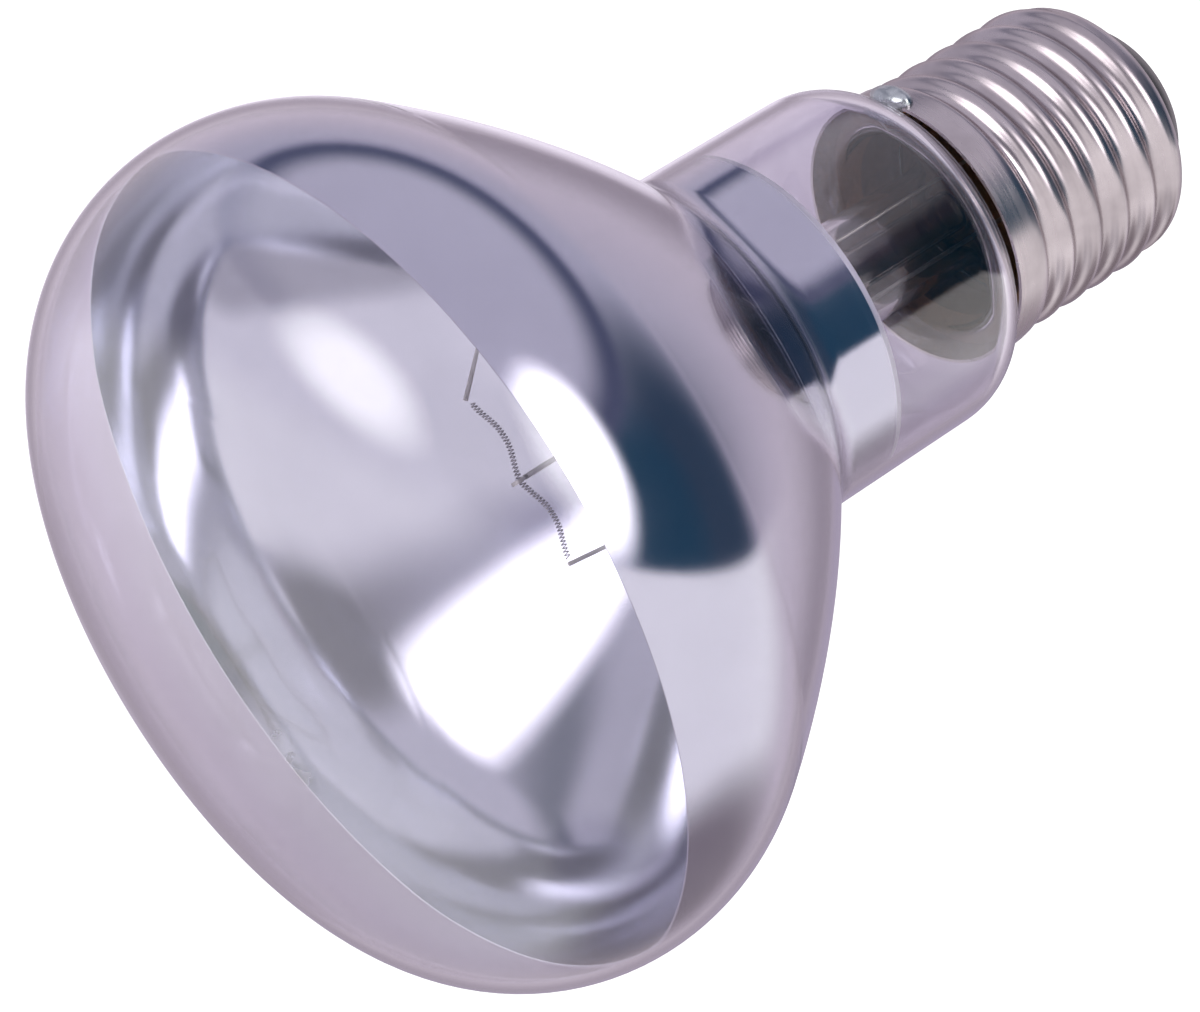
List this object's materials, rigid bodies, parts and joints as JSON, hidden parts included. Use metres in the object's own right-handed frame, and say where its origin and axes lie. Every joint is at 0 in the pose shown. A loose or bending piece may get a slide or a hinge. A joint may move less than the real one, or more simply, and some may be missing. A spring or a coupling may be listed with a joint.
{
  "type": "reflector heat lamp bulb",
  "caption": "Blown glass reflector spot lamp with a tinted domed face, mirrored back, short neck and a screw cap with a rolled round thread.",
  "frame": {"origin": "centre of the centre contact's end face, on the lamp's axis", "axes": "+Z along the lamp's axis from the contact to the domed face; +X through one end of the filament; the soldered lead crosses the rim 33 degrees from +X towards -Y"},
  "size_m": [0.08, 0.08, 0.1125],
  "materials": {
    "tinted_glass": "clear polished glass with a faint lavender tint",
    "mirror_film": "bright vapour-deposited mirror behind glass",
    "clear_glass": "clear polished glass",
    "lead_wire": "drawn nickel-plated wire",
    "molybdenum": "drawn wire",
    "tungsten": "dull grey coiled wire",
    "cap_metal": "bright rolled sheet metal, slightly warm grey",
    "cement": "matt brown cement",
    "solder": "bright solder",
    "dark_glass": "glossy near-black glass",
    "contact_plate": "satin plated metal"
  },
  "bodies": {
    "root": {"envelope": "tinted_glass", "mirror_coating": "mirror_film", "stem": "clear_glass", "exhaust_tube": "clear_glass", "centre_lead_wire": "lead_wire", "shell_lead_wire": "lead_wire", "support_wire": "molybdenum", "filament": "tungsten", "cap_shell": "cap_metal", "basing_cement": "cement", "side_solder": "solder", "cap_insulator": "dark_glass", "centre_contact": "contact_plate", "contact_solder": "solder"}
  },
  "joints": []
}
